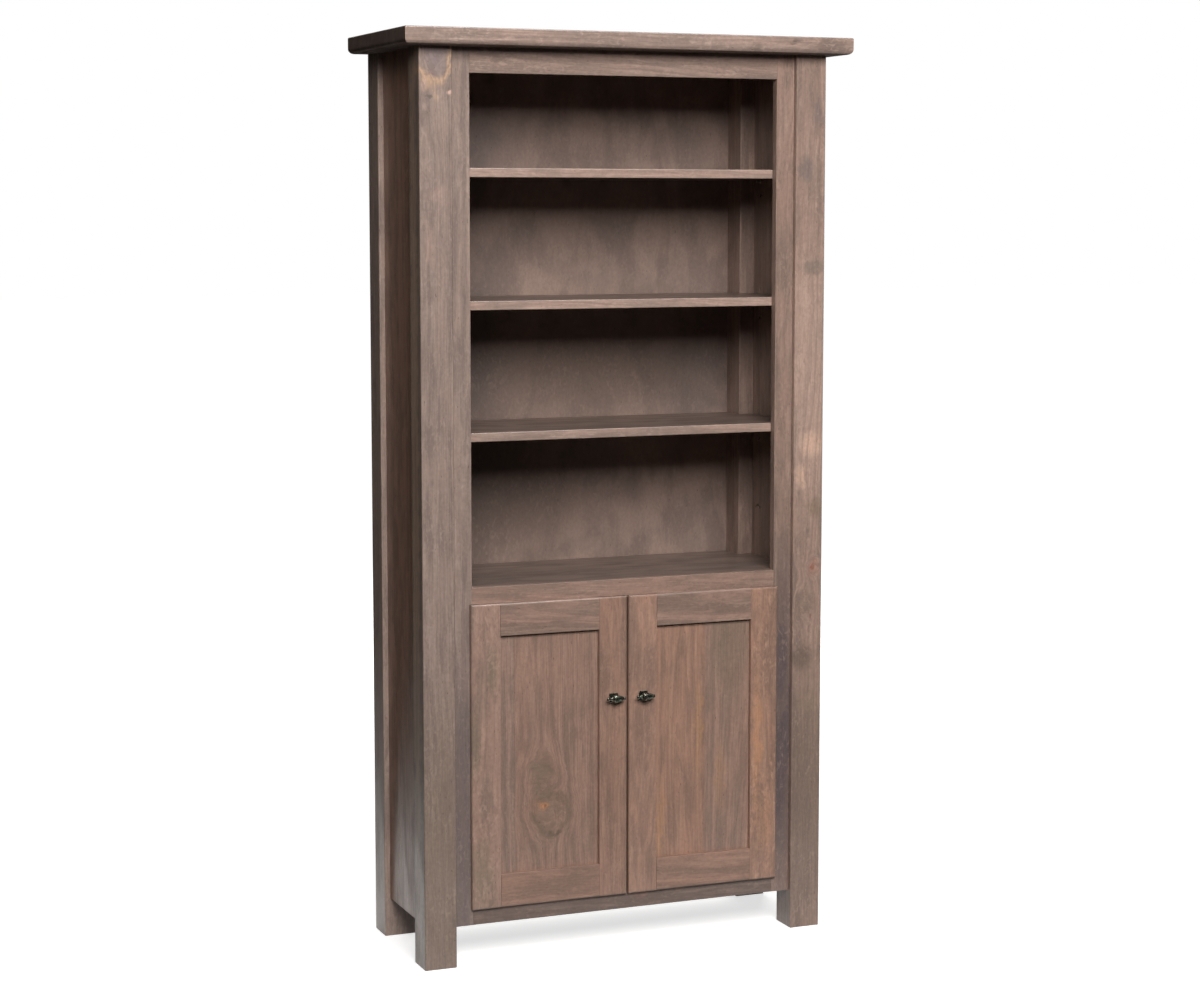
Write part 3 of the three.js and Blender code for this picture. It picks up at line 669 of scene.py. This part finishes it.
# Doors: cherry stiles and rails with a flat panel in their grooves. The outer edge of the front
# is well rounded, the inner edge is square, and a lip laps over the face frame. The left panel
# has a knot with the grain swirling round it.
left_knot = on_front("left_door_panel", [
    {"spot": (-0.183, 0.318), "size": (44, 56), "colour": "84705F", "amount": 0.55, "push": 34},
    {"spot": (-0.1923, 0.398), "size": (36, 42), "colour": "7A6A5B", "amount": 0.75, "push": 12},
    {"spot": (-0.172, 0.304), "size": (36, 42), "colour": "766455", "amount": 0.7, "ring": 0.3},
    {"spot": (-0.207, 0.325), "size": (18, 16), "colour": "9E7A67", "amount": 0.6},
    {"spot": (-0.166, 0.264), "size": (22, 6), "colour": "665649", "amount": 0.7},
    {"spot": (-0.1912, 0.3254), "size": (12, 13), "colour": "BD8763", "amount": 0.85, "push": 8},
    {"spot": (-0.1905, 0.324), "size": (2.5, 7), "colour": "7E5540", "amount": 0.8},
])
left_shade = on_front("left_door_hinge_stile", [
    {"spot": (-0.345, 0.47), "size": (16, 70), "colour": "776B5C", "amount": 0.65},
    {"spot": (-0.33, 0.2), "size": (22, 90), "colour": "827461", "amount": 0.55},
    {"spot": (-0.305, 0.62), "size": (12, 60), "colour": "7F725E", "amount": 0.5},
])
right_grey = on_front("right_door_panel", [
    {"spot": (0.24, 0.64), "size": (60, 150), "colour": "826F60", "amount": 0.75},
    {"spot": (0.22, 0.35), "size": (16, 90), "colour": "A98268", "amount": 0.5},
])
right_gold = on_front("right_door_panel", [
    {"spot": (0.168, 0.46), "size": (10, 110), "colour": "B28763", "amount": 0.5},
    {"spot": (0.08, 0.26), "size": (10, 100), "colour": "B28763", "amount": 0.5},
])
right_glow = on_front("right_door_hinge_stile", [
    {"spot": (0.303, 0.42), "size": (12, 170), "colour": "BC8B69", "amount": 0.6},
    {"spot": (0.32, 0.24), "size": (24, 70), "colour": "B78A6C", "amount": 0.45},
])
DOOR_LOOKS = {
    "left": {
        "lock_stile": {"grain": "z", "warm": 0.9, "deep": 0.35},
        "hinge_stile": {"grain": "z", "warm": 0.6, "deep": 0.35, "light": 1.08, "curl": 0.8,
                        "fine": 0.7, "marks": left_shade},
        "top_rail": {"grain": "x", "warm": 0.6, "deep": 0.45},
        "bottom_rail": {"grain": "x", "warm": 0.9, "deep": 0.4},
        "panel": [
            {"grain": "z", "warm": 0.55, "deep": 0.6},
            {"grain": "z", "warm": 0.75, "deep": 0.4, "curl": 0.3, "marks": left_knot},
        ],
    },
    "right": {
        "lock_stile": {"grain": "z", "warm": 0.9, "deep": 0.3, "light": 1.12},
        "hinge_stile": {"grain": "z", "warm": 1.0, "deep": 0.3, "light": 1.12, "curl": 1.0,
                        "marks": right_glow},
        "top_rail": {"grain": "x", "warm": 0.6, "deep": 0.5, "light": 1.05},
        "bottom_rail": {"grain": "x", "warm": 0.9, "deep": 0.5, "light": 1.05},
        "panel": [
            {"grain": "z", "warm": 1.0, "deep": 0.3, "light": 1.1, "curl": 0.2, "marks": right_gold},
            {"grain": "z", "warm": 0.7, "deep": 0.5, "light": 1.1, "curl": 0.2, "marks": right_grey},
        ],
    },
}
DOOR_PANEL_LINES = {"left": [-0.2525], "right": [0.184]}  # where each panel's two boards meet
DOOR_EDGE = 6.0
INNER_EDGE = 0.8
LIP_EDGE = 1.0


def door_eases(side, part):
    """The radius of each arris of a stile or rail of a door."""
    outer, inner = ("left", "right") if side == "left" else ("right", "left")
    if part == "lock_stile":
        outer, inner = inner, outer
    if part.endswith("stile"):
        return {f"{outer} front": DOOR_EDGE, "front top": DOOR_EDGE, "front bottom": DOOR_EDGE,
                f"{inner} front": INNER_EDGE, f"{outer} top": LIP_EDGE, f"{outer} bottom": LIP_EDGE,
                f"{outer} back": LIP_EDGE}
    edge, inner = ("top", "bottom") if part == "top_rail" else ("bottom", "top")
    return {f"front {edge}": DOOR_EDGE, f"front {inner}": INNER_EDGE}


for side, looks in DOOR_LOOKS.items():
    for part, look in looks.items():
        node = f"{side}_door_{part}"
        if part == "panel":
            woods = []
            for index, stave in enumerate(look):
                name = f"stained_cherry_{node}_{index + 1}"
                woods.append(stained_cherry(name, heart_behind(node, random.Random(name)), **stave))
            board(node, woods, glue_lines=DOOR_PANEL_LINES[side])
            continue
        name = "stained_cherry_" + node
        wood = stained_cherry(name, heart_behind(node, random.Random(name)), **look)
        board(node, [wood], door_eases(side, part))

# Knobs: bronze bars forged by hand, with a ball and a waist at the left end, a hammered barrel
# and a small button at the right. Each stands on a neck over a square plate, screwed from behind.
# Dark patina fills the dimples, and the ridges between them are rubbed bright.
KNOB_OUTLINE = [  # distance from the left end and radius, in millimetres
    (0.1, 0.0), (0.1, 2.2), (1.2, 3.5), (3.0, 3.8), (5.0, 3.5), (6.6, 2.9), (9.0, 3.4), (12.2, 4.5),
    (13.6, 6.8), (15.8, 8.5), (19.5, 8.9), (23.0, 8.5), (30.0, 6.7), (36.6, 4.7), (37.6, 3.5),
    (39.2, 3.8), (41.0, 3.4), (41.9, 2.0), (41.9, 0.0),
]
KNOB_STEPS = 32
DIMPLE_SIZE = 4.0
DIMPLE_REACH = 0.6
DIMPLE_DEPTH = 0.35
PLATE_DIMPLE_DEPTH = 0.25
NECK_STEPS = 24
NECK_SETBACK = 6
NECK_GAP = 0.2
NECK_RADIUS, NECK_FOOT_RADIUS = 4.2, 6.0
NECK_STRAIGHT = 0.6
PLATE_EDGE = 0.5
PLATE_CUTS = 24
GRIT_SIZE = 1.6
PATINA_SIZE = 9
PATINA_BROWN, PATINA_GREEN, RUBBED_BRONZE = "342722", "3A4538", "888B80"


def turned(bm, outline, start, axis, steps):
    """Spins an outline of (distance along the axis, radius) pairs in millimetres into a solid."""
    axis = Vector(axis)
    aside = axis.orthogonal().normalized()
    verts = [bm.verts.new(start + (axis * along + aside * radius) * MM) for along, radius in outline]
    edges = [bm.edges.new(pair) for pair in zip(verts, verts[1:])]
    bmesh.ops.spin(bm, geom=verts + edges, cent=start, axis=axis, angle=math.tau, steps=steps,
                   use_merge=True)
    bmesh.ops.remove_doubles(bm, verts=bm.verts, dist=0.001 * MM)
    bmesh.ops.recalc_face_normals(bm, faces=bm.faces)


def hammer(bm, size, depth):
    """Sinks round dimples into a surface, and records how far each point stands out of them."""
    rubbed = bm.verts.layers.float.new("rubbed")
    bm.normal_update()
    for vert in bm.verts:
        nearest = noise.voronoi(vert.co / (size * MM))[0][0]
        sunk = max(0.0, 1 - (nearest / DIMPLE_REACH) ** 2)
        vert[rubbed] = 1 - sunk
        vert.co -= vert.normal * depth * MM * sunk


def smooth(bm):
    """Shades every face smooth."""
    for face in bm.faces:
        face.smooth = True


bronze = bpy.data.materials.new("forged_bronze_with_patina")
tree = blank_tree(bronze)
place = add(tree, "TexCoord").outputs["Object"]
ridge = add(tree, "Attribute", attribute_name="rubbed").outputs["Fac"]
rub = add(tree, "MapRange", {0: ridge, 1: 0.45, 2: 1.0}, **EASED)
grit = add(tree, "TexNoise", {"Vector": place, "Scale": 1 / (GRIT_SIZE * MM), "Detail": 3.0})
worn = add(tree, "Math", {0: rub, 1: grit}, operation="MULTIPLY")
cloud = add(tree, "TexNoise", {"Vector": place, "Scale": 1 / (PATINA_SIZE * MM), "Detail": 2.0})
green = add(tree, "MapRange", {0: cloud, 1: 0.42, 2: 0.6})
patina = add(tree, "Mix", {0: green, 6: linear(PATINA_BROWN), 7: linear(PATINA_GREEN)}, data_type="RGBA")
metal = add(tree, "Mix", {0: worn, 6: patina, 7: linear(RUBBED_BRONZE)}, data_type="RGBA")
dull = add(tree, "MapRange", {0: worn, 3: 0.5, 4: 0.28})
pits = add(tree, "Bump", {"Strength": 0.4, "Distance": 0.1 * MM, "Height": grit})
skin = add(tree, "BsdfPrincipled", {"Base Color": metal, "Metallic": 1.0, "Roughness": dull, "Normal": pits})
add(tree, "OutputMaterial", {"Surface": skin})

for side in ("left", "right"):
    low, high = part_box(f"{side}_knob")
    plate_low, plate_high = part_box(f"{side}_knob_plate")
    barrel_radius = (high.z - low.z) / 2
    bar_start = Vector((low.x, low.y + barrel_radius, (low.z + high.z) / 2))
    bm = bmesh.new()
    turned(bm, KNOB_OUTLINE, bar_start, (1, 0, 0), KNOB_STEPS)
    long_edges = [edge for edge in bm.edges if edge.calc_length() > 1.5 * MM]
    bmesh.ops.subdivide_edges(bm, edges=long_edges, cuts=2, use_grid_fill=True)
    hammer(bm, DIMPLE_SIZE, DIMPLE_DEPTH)
    neck_start = Vector(((low.x + high.x) / 2, bar_start.y + NECK_SETBACK * MM, bar_start.z))
    neck_length = (plate_low.y - neck_start.y) / MM - NECK_GAP
    neck = [(0, 0), (0, NECK_RADIUS), (neck_length * NECK_STRAIGHT, NECK_RADIUS),
            (neck_length, NECK_FOOT_RADIUS), (neck_length, 0)]
    turned(bm, neck, neck_start, (0, 1, 0), NECK_STEPS)
    smooth(bm)
    knob = new_object(f"{side}_knob_forged", bm, bronze)
    smoothing = knob.modifiers.new("smoothing", "SUBSURF")
    smoothing.levels = 1
    smoothing.render_levels = 1
    stand_for(knob, f"{side}_knob")

    bm = bmesh.new()
    bmesh.ops.create_cube(bm, size=1)
    bmesh.ops.scale(bm, verts=bm.verts, vec=plate_high - plate_low)
    bmesh.ops.translate(bm, verts=bm.verts, vec=(plate_low + plate_high) / 2)
    bmesh.ops.bevel(bm, geom=bm.edges[:], offset=PLATE_EDGE * MM, segments=2, profile=0.5,
                    affect="EDGES", material=-1)
    broad = [edge for edge in bm.edges if edge.calc_length() > 10 * MM]
    bmesh.ops.subdivide_edges(bm, edges=broad, cuts=PLATE_CUTS, use_grid_fill=True)
    hammer(bm, DIMPLE_SIZE, PLATE_DIMPLE_DEPTH)
    smooth(bm)
    plate = new_object(f"{side}_knob_plate_forged", bm, bronze)
    stand_for(plate, f"{side}_knob_plate")

# Shelf pins: turned from drawn steel rod and nickel plated, with a thin collar that stops them at
# the panel. The plating gives a clear but slightly soft shine with a warm cast, and drawing lines
# run along it.
PIN_STEM = 3.2
PIN_COLLAR = 4.5
PIN_STEPS = 24
PIN_EDGE = 0.08
DRAWING_LINES = (5, 0.5, 0.5)  # coarser than real ones, so that they show
nickel = bpy.data.materials.new("nickel_plated_steel")
tree = blank_tree(nickel)
place = add(tree, "TexCoord").outputs["Object"]
stretch = [1 / (size * MM) for size in DRAWING_LINES]
stretched = add(tree, "VectorMath", {0: place, 1: stretch}, operation="MULTIPLY")
drawn = add(tree, "TexNoise", {"Vector": stretched, "Scale": 1.0, "Detail": 2.0})
shine = add(tree, "MapRange", {0: drawn, 3: 0.22, 4: 0.42})
plating = add(tree, "BsdfPrincipled", {"Base Color": linear("C6C1B6"), "Metallic": 1.0, "Roughness": shine})
add(tree, "OutputMaterial", {"Surface": plating})

PIN_OUTLINE = [  # distance from the end in the panel and radius, in millimetres
    (0.0, 0.0), (0.0, 2.7), (0.5, PIN_STEM), (10.4, PIN_STEM), (10.4, PIN_COLLAR - 0.2),
    (10.6, PIN_COLLAR), (10.8, PIN_COLLAR), (11.0, PIN_COLLAR - 0.2), (11.0, PIN_STEM),
    (19.6, PIN_STEM), (20.5, 2.8), (21.0, 1.8), (21.0, 0.0),
]
for shelf in SHELVES:
    for row in ("front", "rear"):
        for side, way in (("left", 1), ("right", -1)):
            node = f"{shelf}_pin_{row}_{side}"
            low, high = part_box(node)
            start = Vector((low.x if way > 0 else high.x, (low.y + high.y) / 2, (low.z + high.z) / 2))
            bm = bmesh.new()
            turned(bm, PIN_OUTLINE, start, (way, 0, 0), PIN_STEPS)
            pin = new_object(node + "_turned", bm, nickel)
            rounding = pin.modifiers.new("broken_edges", "BEVEL")
            rounding.width = PIN_EDGE * MM
            rounding.segments = 2
            rounding.limit_method = "ANGLE"
            rounding.harden_normals = True
            stand_for(pin, node)

# Cup hinges: a pressed cup in a bore in the back of the door, and a cranked arm on a plate that
# is screwed to the face frame's inner edge. Both are nickel plated.
CUP_OUTLINE = [  # distance from the cup's floor and radius, in millimetres
    (0.0, 0.0), (0.0, 16.0), (1.5, 17.5), (11.5, 17.5), (11.5, 20.0), (12.1, 20.0), (12.5, 19.6),
    (12.5, 16.8), (12.1, 16.3), (2.0, 16.3), (1.2, 15.5), (1.2, 0.0),
]
SCREW_OUTLINE = [  # distance out from the surface and radius, with a round socket
    (-0.5, 0.0), (-0.5, 2.9), (0.2, 2.9), (0.8, 2.5), (1.1, 1.6), (1.1, 1.3), (0.3, 1.2), (0.3, 0.0),
]
CUP_STEPS = 48
SCREW_STEPS = 24
SCREW_REACHES = (10, 20)
ARM_THICKNESS = 5
ARM_EDGE = 0.6
for side, way in (("left", 1), ("right", -1)):
    for level in ("lower", "upper"):
        node = f"{side}_hinge_cup_{level}"
        low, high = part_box(node)
        cup_floor = Vector(((low.x + high.x) / 2, low.y, (low.z + high.z) / 2))
        bm = bmesh.new()
        turned(bm, CUP_OUTLINE, cup_floor, (0, 1, 0), CUP_STEPS)
        cup = new_object(node + "_pressed", bm, nickel)
        stand_for(cup, node)

        node = f"{side}_hinge_arm_{level}"
        low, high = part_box(node)
        bm = merged_copy(node)
        bmesh.ops.bevel(bm, geom=bm.edges[:], offset=ARM_EDGE * MM, segments=3, profile=0.5,
                        affect="EDGES", material=-1, clamp_overlap=True)
        arm_start = low.x if way > 0 else high.x
        arm_back = low.y + ARM_THICKNESS * MM
        for reach in SCREW_REACHES:
            head = Vector((arm_start + way * reach * MM, arm_back, (low.z + high.z) / 2))
            turned(bm, SCREW_OUTLINE, head, (0, 1, 0), SCREW_STEPS)
        arm = new_object(node + "_cranked", bm, nickel)
        stand_for(arm, node)
